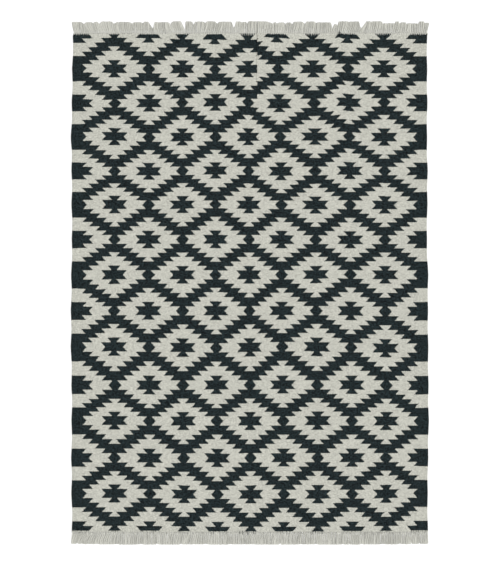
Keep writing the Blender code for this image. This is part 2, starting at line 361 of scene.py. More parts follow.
def newGroup(name, kind, inputs, outputs):
    # a node group with named sockets, each given by its first value or by the word for its kind
    tree = bpy.data.node_groups.new(name, kind)
    kinds = {float: "Float", int: "Int", tuple: "Color"}
    for direction, sockets in (("INPUT", inputs), ("OUTPUT", outputs)):
        for socketName, value in sockets.items():
            word = value if isinstance(value, str) else kinds[type(value)]
            socketType = "NodeSocket" + word
            socket = tree.interface.new_socket(socketName, in_out=direction, socket_type=socketType)
            if word != value:
                socket.default_value = value
    return tree, tree.nodes.new("NodeGroupInput").outputs, tree.nodes.new("NodeGroupOutput").inputs


def placeGroup(group, **values):
    return nodeOf("ShaderNodeGroup", values, node_tree=group).node.outputs


def cottonToneGroup():
    # soft unevenness of undyed and dyed cotton: broad mottling and fine flecks
    tree, given, result = newGroup(
        "cottonTone", "ShaderNodeTree",
        {"Color": (0.5, 0.5, 0.5, 1), "Vector": "Vector", "MottleScale": 6.0, "MottleAmount": 0.05,
         "FleckScale": 260.0, "FleckAmount": 0.08},
        {"Color": "Color"})
    broad = noiseOf(given["Vector"], given["MottleScale"], 3.0)
    fine = noiseOf(given["Vector"], given["FleckScale"], 2.0, 0.6)
    mottle = times(minus(broad, 0.5), given["MottleAmount"])
    flecks = times(minus(fine, 0.5), given["FleckAmount"])
    tree.links.new(shaded(given["Color"], plus(mottle, flecks, 1.0)), result["Color"])
    return tree


plyShape = {
    "fibreScale": (9.0, 260.0),  # fineness of the fibres, round the yarn and along it
    "fibreRelief": 0.2,
    "grooveHeight": 0.45,  # the groove between two plies lies in shade below this height
}


def pliedYarnGroup(shape):
    # relief and shade of a plied yarn: Around is 0 to 1 round it, Along is in metres
    tree, given, result = newGroup(
        "pliedYarn", "ShaderNodeTree", {"Around": 0.0, "Along": 0.0, "TwistLength": 0.009, "Plies": 2.0},
        {"Height": "Float", "Groove": "Float"})
    turns = mathOf("DIVIDE", given["Along"], given["TwistLength"])
    phase = times(plus(given["Around"], turns), given["Plies"])
    rounded = mathOf("ABSOLUTE", mathOf("SINE", times(phase, math.pi)))
    roundScale, alongScale = shape["fibreScale"]
    fibre = noiseOf(vectorOf(times(phase, roundScale), times(given["Along"], alongScale)))
    height = plus(times(rounded, 1 - shape["fibreRelief"]), times(fibre, shape["fibreRelief"]))
    tree.links.new(height, result["Height"])
    tree.links.new(spread(rounded, 0.0, shape["grooveHeight"], 1.0, 0.0, "SMOOTHSTEP"), result["Groove"])
    return tree


cottonTone = cottonToneGroup()
pliedYarn = pliedYarnGroup(plyShape)

# Bars with slanted ends, which step up and down from each motif's middle
chartRule = {
    "steps": 8.0,  # in each row
    "barStart": 0.182,  # share of a column from the middle of a motif to the first bar's end
    "barSlant": 0.118,  # how much that shrinks along a step
    "barWidth": 0.19,
    "turn": 6.0,  # steps after which dark and pale come again
    "darkSteps": 3,  # how many of them are dark
}

clothFinish = {
    "pale": (0.433, 0.432, 0.383, 1),
    "dark": (0.0109, 0.0171, 0.0187, 1),
    "darkWidened": 0.012,  # share of a column that the dark weft gains on each side
    "pickLength": 0.0013,  # one weft after the other, along the rug
    "rowLength": 0.170,  # a middling row of motifs
    "paleFleck": 0.50,
    "darkFleck": 1.6,
    "patchFloats": 1.7,  # flecks that spread over a few floats
    "palePatch": 0.50,
    "darkPatch": 3.2,
    # unevenness from pick to pick and in bands: amount, scale across the ribs and along the rug
    "pickTone": (0.16, 0.035, 0.9),
    "bandTone": (0.06, 0.004, 2.3),
    "tone": {"MottleScale": 5.0, "MottleAmount": 0.05, "FleckScale": 300.0, "FleckAmount": 0.12},
    "warp": (0.42, 0.41, 0.37, 1),  # colour of the warp where it shows between two floats
    "warpShown": 0.34,
    "warpGap": 0.30,  # it shows where a float's relief is lower than this
    "warpSeldom": 0.72,  # share of the floats beside which it doesn't
    # colour of the painted shade between the bundles at each end
    "gapShadeColour": (0.045, 0.045, 0.043, 1),
    # painted shade in dots and specks between the bundles: share of a bundle at which they fade, chance at
    # which they show
    "gapShadeDots": ((0.10, 0.28), (0.32, 0.66)),
    "gapShadeSpecks": ((0.12, 0.36), (0.20, 0.70)),
    "gapShadeStretches": (0.34, 0.54, 0.30, 1.0),  # the painted shade dots are strong in some stretches only
    "nearGapShade": 0.35,  # strength of the near end's painted shade dots
    "roughness": 0.92,
    "specular": 0.08,
    "relief": 0.5,
    "reliefDepth": 0.0006,
    "rounding": (0.6, 0.5),  # powers that round a float off along it and across its rib
    "hairScale": (900.0, 2600.0, 900.0),
    "hairRelief": 0.25,
}


def startMaterial(name, finish):
    material = bpy.data.materials.new(name)
    material.use_nodes = True
    shader = material.node_tree.nodes["Principled BSDF"]
    shader.inputs["Roughness"].default_value = finish["roughness"]
    shader.inputs["Specular IOR Level"].default_value = finish["specular"]
    return material, material.node_tree, shader


def endMaterial(tree, shader, colour, height, finish):
    values = {"Strength": finish["relief"], "Distance": finish["reliefDepth"], "Height": height}
    tree.links.new(colour, shader.inputs["Base Color"])
    tree.links.new(nodeOf("ShaderNodeBump", values), shader.inputs["Normal"])


def splitUv(tree, name):
    first = nodeOf("ShaderNodeSeparateXYZ", (nodeOf("ShaderNodeUVMap", tree=tree, uv_map=name),))
    return first, first.node.outputs[1]


def darkWeft(column, row, widened):
    # 1 where the chart has dark weft, with the rule mirrored at each motif
    row = mathOf("MINIMUM", row, rowCount - 0.001)
    rowNumber = mathOf("FLOOR", mathOf("MAXIMUM", row, 0.0))
    step = times(minus(row, rowNumber), chartRule["steps"])
    stepNumber = mathOf("FLOOR", mathOf("MAXIMUM", step, 0.0))
    inStep = minus(step, stepNumber)  # below 0 past the first row
    fromLozenge = mathOf("PINGPONG", plus(column, rowNumber, 1.0), 1.0)
    slant = minus(chartRule["barStart"], times(inStep, chartRule["barSlant"]))
    masks = []
    for shift in (-widened, widened):  # the dark weft is beaten a little wider than the pale one
        fromBar = minus(mathOf("MAXIMUM", plus(fromLozenge, shift), 0.0), slant)
        bar = mathOf("FLOOR", plus(mathOf("DIVIDE", fromBar, chartRule["barWidth"]), 1.0))
        turn = mathOf("FLOORED_MODULO", minus(stepNumber, bar), chartRule["turn"])
        masks.append(mathOf("LESS_THAN", turn, chartRule["darkSteps"] - 0.5))
    return mathOf("MAXIMUM", *masks)


def clothMaterial(finish):
    material, tree, shader = startMaterial("wovenCotton", finish)
    spot = nodeOf("ShaderNodeTexCoord", (), "Object", tree)
    column, row = splitUv(tree, "chart")
    rib, pick = splitUv(tree, "weave")
    # each rib shows one float of weft every second pick, half a float on from its neighbours
    ribNumber = mathOf("FLOOR", rib)
    floats = plus(times(pick, 0.5), times(ribNumber, 0.5))
    inFloat = mathOf("FRACT", floats)
    cell = vectorOf(ribNumber, mathOf("FLOOR", floats))
    # a float has one colour, that of the chart at its middle
    fromFloat = times(minus(inFloat, 0.5), 2 * finish["pickLength"] / finish["rowLength"])
    darkChart = darkWeft(column, minus(row, fromFloat), finish["darkWidened"])
    insideEnd = nodeOf("ShaderNodeAttribute", (), "Fac", tree, attribute_name="insideEnd")
    dark = times(darkChart, mathOf("LESS_THAN", row, float(rowCount)),
                 mathOf("GREATER_THAN", insideEnd, 0.0))
    # painted shade: each end's header is darkened in dots where it passes between the bundles
    bundle = plus(times(rib, 0.5), 0.5)
    fromDot = mathOf("ABSOLUTE", minus(mathOf("FRACT", bundle), 0.5))
    dotChance = randomOf(vectorOf(mathOf("FLOOR", bundle), 5.0))
    dots, specks = [times(spread(fromDot, *fade, 1.0, 0.0), spread(dotChance, *shown, 0.0, 1.0))
                    for fade, shown in (finish["gapShadeDots"], finish["gapShadeSpecks"])]
    stretch = noiseOf(vectorOf(times(rib, 0.03), 2.0))
    dots = times(dots, spread(stretch, *finish["gapShadeStretches"]))
    farGapShade = (rug["farGapShade"] - rug["farHeader"]) / finish["pickLength"]
    nearGapShade = (clothLength + rug["nearHeader"] - rug["nearGapShade"]) / finish["pickLength"]
    farLine = times(mathOf("LESS_THAN", pick, farGapShade), dots)
    nearLine = times(mathOf("GREATER_THAN", pick, nearGapShade), dots)
    # painted shade also falls in specks between the bundles, past the near end's dark bars
    specks = times(specks, times(mathOf("GREATER_THAN", row, float(rowCount)), darkChart))
    gapShades = mathOf("MAXIMUM", plus(farLine, times(nearLine, finish["nearGapShade"])), specks)
    # tones from float to float, in patches, from pick to pick and in bands
    fleck = minus(randomOf(cell), 0.5)
    patch = minus(noiseOf(cell, 1 / finish["patchFloats"], 1.0), 0.5)
    amount, ribScale, pickScale = finish["pickTone"]
    pickTone = times(minus(noiseOf(vectorOf(times(rib, ribScale), pick), pickScale, 1.0), 0.5), amount)
    amount, ribScale, rowScale = finish["bandTone"]
    bandTone = times(minus(noiseOf(vectorOf(times(rib, ribScale), times(row, rowScale))), 0.5), amount)
    weftTone = plus(pickTone, bandTone)
    fleckAmount = mixValue(dark, finish["paleFleck"], finish["darkFleck"])
    patchAmount = mixValue(dark, finish["palePatch"], finish["darkPatch"])
    fleckTone = plus(times(fleck, fleckAmount), times(patch, patchAmount))
    weft = mixColour(dark, finish["pale"], finish["dark"])
    weft = shaded(weft, plus(fleckTone, weftTone, 1.0))
    weft = placeGroup(cottonTone, Color=weft, Vector=spot, **finish["tone"])["Color"]
    # the pale warp shows here and there between two floats
    acrossRib = mathOf("SINE", times(mathOf("FRACT", rib), math.pi))
    alongFloat = mathOf("SINE", times(inFloat, math.pi))
    gap = spread(alongFloat, 0.0, finish["warpGap"], 1.0, 0.0, "SMOOTHSTEP")
    seldom = spread(randomOf(scaled(cell, (1.7, 2.3, 1.0))), finish["warpSeldom"], 1.0, 0.0, 1.0)
    shown = times(gap, seldom, times(dark, finish["warpShown"]), mathOf("POWER", acrossRib, 2.0))
    colour = mixColour(shown, weft, finish["warp"])
    colour = mixColour(gapShades, colour, finish["gapShadeColour"])
    alongPower, acrossPower = finish["rounding"]
    relief = times(mathOf("POWER", alongFloat, alongPower), mathOf("POWER", acrossRib, acrossPower))
    hair = times(noiseOf(scaled(spot, finish["hairScale"])), finish["hairRelief"])
    endMaterial(tree, shader, colour, plus(relief, hair), finish)
    return material


# What the yarns have in common
yarnFinish = {
    "tones": 24,  # yarns fall into this many shades
    "deepest": 5,  # of which this many are the deepest
    "rootPaintedLight": 0.0,  # painted light added near the root and near the tip, painted shade where it is below 0
    "tipPaintedLight": 0.0,
    "toneReach": (0.008, 0.045),  # distances along the yarn between which one turns into the other
    "rootShade": 0.0,  # more shade on the deepest yarns' roots
    "shadeReach": (0.006, 0.014),
    "girth": 0.0031,
    "tone": {"MottleScale": 45.0, "MottleAmount": 0.08, "FleckScale": 700.0, "FleckAmount": 0.12},
    "roughness": 0.95,
    "specular": 0.10,
    "relief": 0.6,
    "reliefDepth": 0.0004,
}

# What each kind of yarn has of its own
yarnKinds = {
    # the undyed yarns are lighter than the cloth's pale weft though they are the same cotton: painted light
    # that makes up for the shade they cast on one another
    "undyedCottonFar": {"colour": (0.531, 0.529, 0.480), "toneRange": (0.74, 1.16), "rootPaintedLight": -0.050,
                        "tipPaintedLight": 0.015, "rootShade": 0.26, "twistLength": 0.010, "groove": 0.10},
    "undyedCottonNear": {"colour": (0.487, 0.485, 0.440), "toneRange": (0.76, 1.14), "rootPaintedLight": -0.01,
                         "tipPaintedLight": 0.085, "rootShade": 0.34, "twistLength": 0.010, "groove": 0.10},
    "undyedLoopsFar": {"colour": (0.530, 0.526, 0.478), "toneRange": (0.92, 1.16),
                       "twistLength": 0.0042, "groove": 0.26},
    # the near loops' wide tone range is partly painted shade: its darkest loops stand in for shadow among
    # the loops
    "undyedLoopsNear": {"colour": (0.520, 0.518, 0.470), "toneRange": (0.64, 1.20),
                        "twistLength": 0.0042, "groove": 0.26},
    "darkWeftEnds": {"colour": (0.016, 0.022, 0.024), "toneRange": (0.9, 1.1),
                     "twistLength": 0.0050, "groove": 0.20, "specular": 0.08},
}


def yarnMaterial(name, finish):
    material, tree, shader = startMaterial(name, finish)
    around, along = splitUv(tree, "yarn")
    toneNumber = mathOf("FLOOR", around)
    ply = placeGroup(pliedYarn, Around=mathOf("FRACT", around), Along=along,
                     TwistLength=finish["twistLength"], Plies=2.0)
    shade = spread(toneNumber, 0.0, finish["tones"] - 1.0, *finish["toneRange"])
    shade = minus(shade, times(ply["Groove"], finish["groove"]))
    # painted shade and light along the yarn, changing from root to tip
    shade = plus(shade, spread(along, *finish["toneReach"], finish["rootPaintedLight"], finish["tipPaintedLight"]))
    # the deepest yarns lie in shade at their roots
    rootShade = spread(along, *finish["shadeReach"], finish["rootShade"], 0.0)
    shade = minus(shade, times(mathOf("LESS_THAN", toneNumber, finish["deepest"]), rootShade))
    colour = shaded(finish["colour"], shade)
    place = vectorOf(times(around, finish["girth"]), along)
    toned = placeGroup(cottonTone, Color=colour, Vector=place, **finish["tone"])["Color"]
    endMaterial(tree, shader, toned, ply["Height"], finish)
    return material


woven = clothMaterial(clothFinish)
yarns = {name: yarnMaterial(name, {**yarnFinish, **kind}) for name, kind in yarnKinds.items()}
print("materials ready")


def geoNode(kind, values=(), **settings):
    return nodeOf("GeometryNode" + kind, values, **settings)


def readAttribute(tree, name):
    return geoNode("InputNamedAttribute", {"Name": name}, tree=tree, data_type="FLOAT")


def endTree(tree, result, geometry, finish):
    real = geoNode("RealizeInstances", {"Geometry": geometry})
    tree.links.new(geoNode("SetMaterial", {"Geometry": real, "Material": finish}), result["Geometry"])
    return tree


def wovenRibsTree():
    # raises the ribs that the warp makes in the weft, higher and thicker along the selvedges
    tree, given, result = newGroup(
        "wovenRibs", "GeometryNodeTree",
        {"Geometry": "Geometry", "RibHeight": 0.0006, "SelvedgeRibHeight": 0.001, "SelvedgeWidth": 0.03,
         "WaverHeight": 0.0003, "WaverLength": 0.1, "Seed": 1, "Finish": "Material"},
        {"Geometry": "Geometry"})
    fromSelvedge = readAttribute(tree, "fromSelvedge")
    edge = spread(fromSelvedge, 0.0, given["SelvedgeWidth"], 1.0, 0.0, "SMOOTHSTEP")
    height = mixValue(edge, given["RibHeight"], given["SelvedgeRibHeight"])
    rise = times(readAttribute(tree, "ribCrown"), height)
    scale = mathOf("DIVIDE", 1.0, given["WaverLength"])
    waver = nodeOf("ShaderNodeTexNoise",
                   {"Vector": geoNode("InputPosition", tree=tree), "W": given["Seed"], "Scale": scale},
                   noise_dimensions="4D")
    lift = times(minus(waver, 0.5), given["WaverHeight"], readAttribute(tree, "onTop"))
    offset = vectorOf(0.0, 0.0, plus(rise, lift))
    moved = geoNode("SetPosition", {"Geometry": given["Geometry"], "Offset": offset})
    return endTree(tree, result, moved, given["Finish"])


def laidYarnTree():
    # turns drawn lines into yarns of their own radius, a little wavy and no two alike
    tree, given, result = newGroup(
        "laidYarn", "GeometryNodeTree",
        {"Geometry": "Geometry", "Sides": 6, "Flatness": 1.0, "WaveHeight": 0.0, "WaveLength": 0.012,
         "Seed": 1, "Finish": "Material"},
        {"Geometry": "Geometry"})
    along = readAttribute(tree, "alongYarn")
    turns = mathOf("DIVIDE", along, given["WaveLength"])
    where = vectorOf(turns, times(readAttribute(tree, "yarnNumber"), 7.31), given["Seed"])
    wave = nodeOf("ShaderNodeTexNoise", {"Vector": where, "Scale": 1.0}, 1, noise_dimensions="3D")
    centred = nodeOf("ShaderNodeVectorMath", (wave, (0.5, 0.5, 0.5)), operation="SUBTRACT")
    strength = times(given["WaveHeight"], spread(along, 0.004, 0.020, 0.0, 1.0))  # held at the root
    sway = scaled(centred, vectorOf(strength, strength, 0.0))
    line = geoNode("MeshToCurve", {"Mesh": given["Geometry"]})
    swayed = geoNode("SetPosition", {"Geometry": line, "Offset": sway})
    upright = geoNode("SetCurveNormal", {"Curve": swayed}, mode="Z_UP")
    ring = geoNode("CurvePrimitiveCircle", {"Resolution": given["Sides"], "Radius": 1.0})
    share = geoNode("SplineParameter", tree=tree)
    marked = geoNode("StoreNamedAttribute", {"Geometry": ring, "Name": "aroundYarn", "Value": share},
                     data_type="FLOAT", domain="POINT")
    flat = geoNode("Transform",
                   {"Geometry": marked, "Scale": vectorOf(1.0, given["Flatness"], 1.0)})
    tube = geoNode("CurveToMesh", {"Curve": upright, "Profile Curve": flat, "Fill Caps": True,
                                         "Scale": readAttribute(tree, "yarnRadius")})
    soft = geoNode("SetShadeSmooth", {"Geometry": tube})
    return endTree(tree, result, soft, given["Finish"])


def addObject(name, data):
    thing = bpy.data.objects.new(name, data)
    bpy.context.collection.objects.link(thing)
    return thing


def newMesh(name, points, lines, faces, facts=None):
    # facts are lists of one number for each point, by name
    mesh = bpy.data.meshes.new(name)
    mesh.from_pydata(points, lines, faces)
    for fact, values in (facts or {}).items():
        mesh.attributes.new(fact, "FLOAT", "POINT").data.foreach_set("value", values)
    return mesh


def addMaps(mesh, maps):
    for name, values in maps.items():
        mesh.uv_layers.new(name=name, do_init=False).uv.foreach_set("vector", values)


def grown(name, mesh, tree, values):
    # runs a node tree on a mesh and returns an object that holds the plain result
    thing = addObject(name, mesh)
    modifier = thing.modifiers.new(name, "NODES")
    modifier.node_group = tree
    for item in tree.interface.items_tree:
        if item.item_type == "SOCKET" and item.in_out == "INPUT" and item.name in values:
            modifier[item.identifier] = values[item.name]
    evaluated = thing.evaluated_get(bpy.context.evaluated_depsgraph_get())
    result = bpy.data.meshes.new_from_object(evaluated)
    thing.modifiers.remove(modifier)
    thing.data = result
    result.name = name
    return thing


ribsTree = wovenRibsTree()
yarnTree = laidYarnTree()

fieldShape = {
    "ribsPerBundle": 2,
    "linesPerRib": 3,
    "underCells": 21,  # the underside is flat, so it has few cells
    "ribs": {"RibHeight": 0.0006, "SelvedgeRibHeight": 0.0012, "SelvedgeWidth": 0.030,
             "WaverHeight": 0.0005, "WaverLength": 0.11, "Seed": 4},
    # the rim: share of the rounding outwards, height above the floor
    "rim": ((0.70, 0.0046), (1.0, 0.0035), (1.0, 0.0015), (0.0, 0.0)),
    # the map OFBake: margin and length, left edge and width of the top and of the underside, rim
    "bakeMargin": 0.012,
    "bakeLength": 0.976,
    "bakeTop": (0.012, 0.682),
    "bakeUnder": (0.718, 0.272),
    "bakeRim": 0.0022,
}

# Along each end, in millimetres: place from the left selvedge, how far the dark weft runs on past
# the rows of motifs, how much further in than usual the loops of warp reach
endShape = {
    "far": (
        (0, 3.0, 0.8), (80, 3.0, 0.8), (150, 0.2, -1.0), (430, 0.2, -1.0), (480, 0.2, -2.0),
        (525, 0.2, -2.0), (530, 4.0, -1.0), (560, 4.0, -1.0), (600, 0.6, -2.0), (700, 0.6, -1.8),
        (730, 2.5, -1.2), (800, 4.0, 3.6), (870, 4.0, 3.6), (905, 4.0, -4.5), (980, 3.4, -3.5),
        (1000, 2.8, -1.0), (1040, 2.6, -1.0), (1100, 3.4, 3.0), (1180, 3.4, 3.0), (1250, 4.0, -0.8),
        (1263, 4.0, -4.5), (1284, 4.0, -4.5), (1297, 4.0, -0.6), (1370, 3.6, 0.5), (1435, 4.0, 2.8),
        (1520, 4.0, 2.8), (1590, 3.2, 0.8), (1700, 3.2, 0.8),
    ),
    "near": ((0, 0.0, 9.0), (17, 0.0, 9.0), (30, 0.0, 0.0), (1700, 0.0, 0.0)),
}


def endAt(place, edge):
    # how far the dark weft and the loops reach at a place along an end
    spots = [spot for spot, _, _ in edge]
    index = placeAmong(spots, within(spots[0], spots[-1], place))
    return [valueAt([entry[n] for entry in edge], index) for n in (1, 2)]


def clothEnd(side):
    # place along the rug, and distance from the far end, of the far (1) or near (-1) end
    return (clothHigh.y, 0.0) if side > 0 else (clothLow.y, clothLength)


def fieldMesh(shape):
    perRib = shape["linesPerRib"]
    columns = rug["bundles"] * shape["ribsPerBundle"] * perRib
    rounding = rug["edgeRounding"]
    lastRow = len(rowLines) - 1
    points, spots = [], []
    facts = {"ribCrown": [], "fromSelvedge": [], "onTop": [], "insideEnd": []}

    def addPoint(place, spot, values=(0.0, 1.0, 0.0, 0.001)):
        points.append(place)
        spots.append(spot)
        for listed, value in zip(facts.values(), values):
            listed.append(value)
        return len(points) - 1

    for r, fromFar in enumerate(rowLines):
        y = clothHigh.y - fromFar - rounding * ((r == 0) - (r == lastRow))
        reach = {side: selvedge(side, fromFar) - rounding for side in (-1, 1)}
        for k in range(columns + 1):
            u = 2 * k / columns - 1
            across = u * reach[1 if u > 0 else -1]
            darkReach, _ = endAt(1000 * (across + reach[-1] + rounding), endShape["far"])
            fromSide = (1 - abs(u)) * rug["width"] / 2
            addPoint((middleX + across, y, clothTop(across, fromFar)), (k, r),
                     ((k % perRib > 0) - 0.5, fromSide, 1.0, fromFar + 0.001 * darkReach))
    width = columns + 1
    faces = []
    for r in range(lastRow):
        for k in range(columns):
            first = r * width + k
            faces.append((first + width, first + width + 1, first + 1, first))
    # the closed line round the top, counter-clockwise from the near left corner
    around = [lastRow * width + k for k in range(width)]
    around += [r * width + columns for r in range(lastRow - 1, -1, -1)]
    around += list(range(columns - 1, -1, -1))
    around += [r * width for r in range(1, lastRow)]
    loops = [around]
    for outwards, height in shape["rim"]:
        loop = []
        for index in around:
            x, y, _ = points[index]
            k, r = spots[index]
            x += rounding * outwards * ((k == columns) - (k == 0))
            y += rounding * outwards * ((r == 0) - (r == lastRow))
            loop.append(addPoint((x, y, height), (k, r)))
        loops.append(loop)
    bands = []
    for number, (upper, lower) in enumerate(zip(loops, loops[1:])):
        for n in range(len(upper)):
            faces.append((upper[n - 1], lower[n - 1], lower[n], upper[n]))
            bands.append(number)
    firstUnder = len(faces)
    under = {spots[index]: index for index in loops[-1]}
    stride = columns // shape["underCells"]
    for r in range(1, lastRow):
        for k in range(stride, columns, stride):
            x, y, _ = points[r * width + k]
            under[(k, r)] = addPoint((x, y, 0.0), (k, r))
    for r in range(lastRow):
        for k in range(0, columns, stride):
            ends = (k, k + stride)
            every = range(k, k + stride + 1)  # beside the rim the underside has all of its points
            far = [(n, r) for n in (every if r == 0 else ends)]
            near = [(n, r + 1) for n in (every if r + 1 == lastRow else ends)]
            faces.append([under[spot] for spot in far + near[::-1]])
    mesh = newMesh("wovenField", points, [], faces, facts)
    drawFieldMaps(mesh, faces, spots, bands, firstUnder, columns, shape)
    return mesh


def drawFieldMaps(mesh, faces, spots, bands, firstUnder, columns, shape):
    # chart holds column and row of the pattern, weave counts ribs and picks, OFBake lies flat
    lastRow = len(rowLines) - 1
    perRib = shape["linesPerRib"]
    charts = {}

    def chartAt(k, r):
        if (k, r) not in charts:
            u = 2 * k / columns - 1
            side = 1 if u > 0 else -1
            across = u * (selvedge(side, rowLines[r]) - rug["edgeRounding"])
            charts[(k, r)] = chartPlace(across, rowLines[r])
        return charts[(k, r)]

    chart, weave, flat = [], [], []
    topFaces = firstUnder - len(bands)
    for number, face in enumerate(faces):
        corners = [spots[index] for index in face]
        left = min(k for k, r in corners)
        right = max(k for k, r in corners)
        ofOneRib = right - left <= 1 and number < firstUnder
        ribMiddle = min(left // perRib, columns // perRib - 1) * perRib + perRib / 2
        for corner, (k, r) in enumerate(corners):
            chart += chartAt(ribMiddle if ofOneRib else k, r)
            # a rib's right edge still counts as that rib
            endsRib = ofOneRib and k == right and k % perRib == 0 and right > left
            ribPlace = left // perRib + 0.999 if endsRib else k / perRib
            weave += (ribPlace, rowLines[r] / clothFinish["pickLength"])
            t = (rowLines[-1] - rowLines[r]) / (rowLines[-1] - rowLines[0])
            step = 0.0
            if topFaces <= number < firstUnder:
                step = shape["bakeRim"] * (bands[number - topFaces] + (corner in (1, 2)))
            start, share = shape["bakeUnder" if number >= firstUnder else "bakeTop"]
            onSide = (k == columns) - (k == 0)
            onEnd = (r == 0) - (r == lastRow)
            flat += (start + share * (k / columns) + step * onSide,
                     shape["bakeMargin"] + shape["bakeLength"] * t + step * onEnd)
    addMaps(mesh, {"chart": chart, "weave": weave, "OFBake": flat})


field = grown("wovenField", fieldMesh(fieldShape), ribsTree, {**fieldShape["ribs"], "Finish": woven})
field.data.shade_smooth()
print("woven field:", len(field.data.polygons), "faces")

# Lengths along and across the fringes are in millimetres, and radii and heights in metres
fringeShape = {
    "lowerYarns": 4,  # in each bundle, side by side on the floor
    "upperYarns": 4,  # on top of them
    "gathered": 0.58,  # share of the bundle's width that the upper yarns take up
    "rootWidth": 0.60,
    "radius": 0.00104,
    "radiusSpread": (0.90, 1.08),
    "lengthSpread": 0.7,
    "insideCloth": 4.0,
    "settles": (2.0, 22.0),  # distances from the cloth between which a yarn comes down on the floor
    "combed": (0.02, 0.85),  # shares of its length between which an upper yarn is combed over
    "lowerCurve": 1.3,  # power of the lower yarns' bend
    "tipDrop": (0.80, 0.6),  # share at which an upper yarn's tip starts to drop, how much of the way
    "tipWidening": 0.12,
    "underTop": (0.0022, 0.0014),  # how far under the cloth's top the lower and upper yarns leave it
    "stations": 10,
    "tube": {"Sides": 6, "Flatness": 1.0, "WaveHeight": 0.0022, "WaveLength": 0.016, "Seed": 2},
    "placeSpread": 0.3,  # chance in each yarn's place, and in its lean in the lower and upper layer
    "leanSpread": (0.5, 1.3),
    "comb": 7.0,  # how far the tips of neighbouring bundles are combed sideways
    "combLength": 44.0,
    "upperLayer": 0.0029,  # height of the yarns that lie on others
    "crown": 0.0007,  # height of the middle of a bundle above its sides
    # how far the outermost yarns of the far fringe start inside the selvedge, at left and right
    "farInset": (4.0, 3.4),
    "insetLength": 30,
    "parting": 2.4,  # how far the upper yarns beside a parting fall away from it
    "partingWidth": 12,
    "partingStart": 5.0,
    # share of its neighbour's tone and lean that a bundle keeps, and the chance in them; the bundles' tone
    # is partly random and partly painted shade for the shadows between the round bundles
    "bundleToneAndShade": (0.35, 0.32),
    "bundleLean": (0.4, 3.4),
    "bundleShare": 0.62,  # how much a bundle's tone shows in its yarns
    "layerPaintedLight": (-0.22, 0.12),  # painted shade on the lower yarns, which lie under the others, and painted light on the upper ones
    "toneSpread": 0.20,
    "creviceWidth": 0.005,  # of the shade beside the crease
}

# Partings between tufts, in millimetres: place from the left selvedge, how far the tips lean
# away from it on its left and on its right, reach at which it opens, reach of the tips beside it,
# width over which the tips fall towards it on its left and right, reach of the next tuft
farTufts = (
    (0, 0, -13, 9, 56, 0, 20, 58), (52, 1, 2, 44, 49, 16, 14, 57), (92, 1, 1, 48, 53, 10, 10, 59),
    (124, 2, 2, 45, 51, 14, 16, 60), (196, 3, 2, 44, 50, 16, 16, 58), (283, 2, 2, 45, 51, 16, 14, 57),
    (331, 1, 1, 46, 51, 12, 10, 59), (381, 6, 8, 28, 34, 27, 8, 57), (466, 2, 2, 45, 51, 14, 14, 61),
    (529, 12, 8, 19, 55, 4, 5, 60), (577, 2, 3, 42, 46, 8, 8, 60), (628, 1, 1, 48, 53, 10, 10, 61),
    (691, 2, 2, 45, 51, 14, 12, 59), (772, 5, 5, 28, 38, 8, 7, 60), (810, 1, 1, 50, 55, 8, 8, 58),
    (836, 1, 1, 48, 52, 10, 8, 62), (884, 1, 1, 6, 59, 4, 4, 61), (955, 2, 2, 44, 49, 40, 8, 56),
    (977, 1, 1, 46, 51, 8, 8, 55), (1018, 1, 1, 45, 50, 8, 8, 56), (1049, 2, 2, 44, 49, 8, 10, 59),
    (1111, 2, 2, 45, 51, 14, 12, 60), (1165, 1, 1, 48, 53, 12, 10, 56), (1240, 9, 10, 19, 50, 6, 4, 47),
    (1268, 1, 1, 36, 41, 5, 6, 61), (1324, 1, 1, 52, 58, 8, 8, 60), (1382, 5, 12, 26, 32, 6, 28, 61),
    (1433, 1, 1, 52, 58, 6, 8, 61), (1491, 2, 2, 44, 50, 14, 6, 52), (1545, 1, 1, 46, 50, 4, 4, 60),
    (1569, 1, 1, 45, 49, 6, 6, 56), (1600, 1, 1, 46, 50, 8, 4, 51), (1660, 2, 1, 45, 49, 4, 5, 61),
    (1685, 1, 1, 48, 53, 6, 6, 54), (1700, -7, 0, 0, 52, 8, 0, 54),
)

nearTufts = (
    (0, 0, -1, 0, 57, 0, 12, 60), (22, 1, 1, 50, 56, 6, 6, 60), (46, 1, 1, 50, 56, 6, 6, 61),
    (120, 1, 1, 54, 60, 20, 20, 62), (215, 1, 1, 54, 61, 20, 20, 63), (330, 1, 1, 55, 61, 25, 25, 63),
    (405, 1, 1, 54, 61, 15, 20, 63), (520, 1, 1, 55, 61, 20, 20, 62), (640, 1, 1, 54, 60, 20, 20, 63),
    (760, 1, 1, 55, 61, 20, 15, 62), (860, 1, 1, 54, 61, 15, 20, 63), (989, 1, 1, 50, 59, 7, 7, 63),
    (1090, 1, 1, 54, 61, 20, 20, 62), (1165, 1, 1, 54, 61, 15, 20, 63),
    (1290, 1, 1, 55, 61, 20, 20, 63), (1380, 1, 1, 54, 60, 15, 20, 62),
    (1480, 1, 1, 54, 60, 20, 20, 62), (1565, 1, 1, 54, 59, 15, 10, 61), (1620, 1, 1, 50, 56, 6, 6, 60),
    (1662, 1, 1, 50, 57, 8, 8, 60), (1700, -2, 0, 0, 57, 10, 0, 60),
)

# how far the tips are combed to the right, in millimetres, at places along each end
farSweep = (
    (0, 3), (40, -4), (95, -20), (135, -18), (180, -8), (300, -2), (440, -6), (480, -19), (520, -16),
    (550, -4), (640, 6), (690, 11), (740, 2), (960, 0), (1010, -6), (1080, 12), (1120, 4), (1240, 0),
    (1320, 12), (1400, 15), (1450, 9), (1500, 3), (1550, 12), (1600, 3), (1700, 0),
)

nearSweep = (
    (0, 0), (25, -17), (80, -26), (150, -15), (220, -4), (300, -2), (480, -4), (560, -13), (620, -3),
    (760, 0), (870, 11), (930, 3), (1290, 0), (1330, 11), (1400, 0), (1640, 0), (1700, 0),
)


# Powers of the curves in which the tips fall towards a parting and lean away from it, and lean in at
# the left and right selvedges
tipCurves = {"fall": 1.7, "lean": 1.2, "left": 0.4, "right": 0.45}


